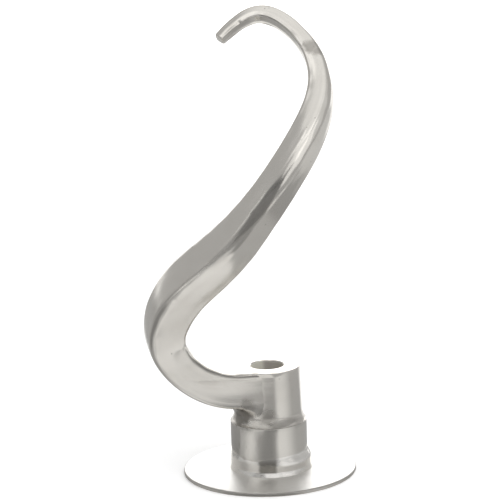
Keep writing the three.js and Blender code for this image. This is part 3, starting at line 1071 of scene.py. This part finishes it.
even = add(tree, "Mix", COLOURS, Factor=patches, A="#dfdcd6", B="#d4d0c9")
# The dark colour is painted shade in the cove and under the arm's root, a painted dark reflection on the
# curl, and the pinholes' own dark.
dark = add(tree, "Math", MAXIMUM, dull_and_painted_dark, pinholes)
colour = add(tree, "Mix", COLOURS, Factor=dark, A=even, B="#94908a")
finish_steel(casting, buffed, colour, [(patches, 0.14), (lines, 0.06), (dull_and_painted_dark, 0.14), (1.0, 0.11)],
             [(lines, 0.010), (ripples, 0.10), (pinholes, -0.08)])
print("dull spots:", len(PAINTED_DARK_SPOTS))

# %% [markdown]
# ## Bored steel
# The bore is left as the boring tool made it: shallow rings a third of a millimetre apart, drawn at
# one millimetre, on a dull, slightly oily surface that scatters most of the light it gets. Its steel is
# painted near white, far lighter than steel: painted light in the deep bore. The right-hand half is
# darker and a little smoother than the left.

# %% Bore material
BORE_RINGS = (60.0, 1.0, 60.0)
BLOTCHES = (6.0, 6.0, 9.0)
RIGHT_HALF_FROM = -3.4
RIGHT_HALF_TO = -0.2
TOUCH = 0.02

bored, tree = new_material("cast_stainless_bored")
rings = noise_of(tree, add(tree, "Attribute", GRAIN).outputs["Vector"], BORE_RINGS)
place = place_in_mm(tree)
blotches = noise_of(tree, place, BLOTCHES)
side = add(tree, "SeparateXYZ", Vector=place).outputs["X"]
right_half = add(tree, "MapRange", SMOOTH, side, RIGHT_HALF_FROM, RIGHT_HALF_TO)
# The bore's steel is painted near white, far lighter than steel: painted light in the deep bore.
lightened_steel = add(tree, "Mix", COLOURS, Factor=blotches, A="#fefdf8", B="#f8f7f0")
colour = add(tree, "Mix", COLOURS, Factor=right_half, A=lightened_steel, B="#dfdbd6")
finish_steel(casting, bored, colour, [(rings, 0.12), (right_half, -0.16), (1.0, 0.84)], [(rings, 0.03)])

centres = np.empty(len(casting.data.polygons) * 3)
casting.data.polygons.foreach_get("center", centres)
centres = centres.reshape(-1, 3) / MM - HUB
near_axis = np.hypot(centres[:, 0], centres[:, 1]) < BORE_RADIUS + TOUCH
in_bore = near_axis & (centres[:, 2] < BOSS_TOP - BORE_CHAMFER)
casting.data.polygons.foreach_set("material_index", in_bore.astype(np.int32))
print("bored faces:", int(in_bore.sum()))

# %% [markdown]
# ## Turned and polished steel
# The sleeve was polished in the lathe, so its lines run round it and change with height alone. They
# are really 0.1 mm apart, and are drawn at 0.8 mm so that they show. Dressing the weld left the sleeve
# a little uneven on its left: the ripples are deeper there, and faint scuffs cross the lines.

# %% Sleeve material
LATHE_LINES = (90.0, 90.0, 0.8)
SOFT_PATCHES = (9.0, 9.0, 14.0)
SCUFFS = (3.0, 3.0, 7.0)
SCUFF_FROM = 0.55
SCUFF_TO = 0.72
LEFT_FROM = 2.0
LEFT_TO = -18.0

turned, tree = new_material("stainless_turned_and_polished")
place = place_in_mm(tree)
lines = noise_of(tree, place, LATHE_LINES, 3.0)
patches = noise_of(tree, place, SOFT_PATCHES)
scuffs = noise_of(tree, place, SCUFFS, 3.0)
side = add(tree, "SeparateXYZ", Vector=place).outputs["X"]
on_left = add(tree, "MapRange", SMOOTH, side, LEFT_FROM, LEFT_TO)
marks = add(tree, "MapRange", SMOOTH, scuffs, SCUFF_FROM, SCUFF_TO)
left_marks = add(tree, "Math", MULTIPLY, marks, on_left)
uneven = add(tree, "Math", MULTIPLY, patches, on_left)
colour = add(tree, "Mix", COLOURS, Factor=left_marks, A=POLISHED_STEEL, B="#a9a59d")
finish_steel(sleeve, turned, colour, [(patches, 0.08), (lines, 0.05), (left_marks, 0.10), (1.0, 0.09)],
             [(lines, 0.006), (uneven, 0.30), (patches, 0.08)])
print("lathe lines every", LATHE_LINES[2], "mm")

# %% [markdown]
# ## Rolled steel
# The disc keeps the satin finish of cold-rolled sheet. Its grain is straight, from the rolling, and so
# fine that it only softens reflections: it is drawn at 0.9 mm in place of 0.1. Years of washing leave
# round, cloudy spots. It is the lightest steel outside the bore. Its rim is painted darker: a painted
# dark reflection.

# %% Disc material
ROLL_LINES = (80.0, 0.9, 80.0)
CLOUDS = (13.0, 13.0, 13.0)
EDGE_START = DISC_RADIUS - 0.5
EDGE_FULL = DISC_RADIUS - 0.2

rolled, tree = new_material("stainless_cold_rolled_satin")
place = place_in_mm(tree)
lines = noise_of(tree, place, ROLL_LINES, 3.0)
clouds = noise_of(tree, place, CLOUDS, 3.0)
flat = add(tree, "VectorMath", MULTIPLY, place, (1, 1, 0))
radius = add(tree, "VectorMath", LENGTH, flat)
edge = add(tree, "MapRange", SMOOTH, radius, EDGE_START, EDGE_FULL)
sheet = add(tree, "Mix", COLOURS, Factor=clouds, A="#f0efec", B="#e8e6e2")
# The rim's darker colour is a painted dark reflection.
colour = add(tree, "Mix", COLOURS, Factor=edge, A=sheet, B="#b8b5b0")
finish_steel(disc, rolled, colour, [(clouds, 0.14), (lines, 0.08), (1.0, 0.36)],
             [(lines, 0.004), (clouds, 0.05)])
print("dull edge over", round(DISC_RADIUS - EDGE_START, 2), "mm")

# %% [markdown]
# ## Dressed weld
# The weld is ground back with a small wheel and brushed. It keeps soft lumps from its pools and short
# scratches in all directions. In front a dark patch is painted on: a painted dark reflection.

# %% Weld material
LUMPS = (3.2, 3.2, 2.4)
SCRATCHES = (0.9, 0.9, 2.6)
# The painted dark reflection's middle and half width from left to right, then the levels and the depth
# between which it grows from nothing to full.
DARK_REFLECTION_MIDDLE = -1.3
DARK_REFLECTION_REACH = 5.4
DARK_REFLECTION_LOW = (4.2, 5.4)
DARK_REFLECTION_HIGH = (15.5, 10.0)
DARK_REFLECTION_FRONT = (-8.0, -16.0)

dressed, tree = new_material("stainless_weld_dressed")
place = place_in_mm(tree)
lumps = noise_of(tree, place, LUMPS)
scratches = noise_of(tree, place, SCRATCHES, 3.0)
axes = add(tree, "SeparateXYZ", Vector=place).outputs
aside = weighted_sum(tree, (axes["X"], 1.0), (1.0, -DARK_REFLECTION_MIDDLE))
aside = add(tree, "Math", {"operation": "ABSOLUTE"}, aside)
ragged = weighted_sum(tree, (aside, 1.0), (lumps, 1.6), (1.0, -0.8))
painted_reflection = add(tree, "MapRange", SMOOTH, ragged, 0.7 * DARK_REFLECTION_REACH, 1.15 * DARK_REFLECTION_REACH, 1.0, 0.0)
for axis, ends in (("Y", DARK_REFLECTION_FRONT), ("Z", DARK_REFLECTION_LOW), ("Z", DARK_REFLECTION_HIGH)):
    inside = add(tree, "MapRange", SMOOTH, axes[axis], *ends)
    painted_reflection = add(tree, "Math", MULTIPLY, painted_reflection, inside)
lightened_steel = add(tree, "Mix", COLOURS, Factor=lumps, A="#f0eeea", B="#e6e3de")
# The dark colour below is a painted dark reflection on the weld's front.
colour = add(tree, "Mix", COLOURS, Factor=painted_reflection, A=lightened_steel, B="#9c9993")
finish_steel(bead, dressed, colour, [(lumps, 0.10), (scratches, 0.06), (1.0, 0.10)],
             [(lumps, 0.05), (scratches, 0.006)])
print("finishes:", [material.name for material in (buffed, bored, turned, rolled, dressed)])

# %% Ride and replace
for piece, node, slot in ((casting, "hook_casting", "cast_steel"), (sleeve, "hub_sleeve", "turned_steel"),
                          (disc, "splash_disc", "disc_steel"), (bead, "disc_weld_bead", "weld_steel")):
    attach(piece, "root")
    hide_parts(node)
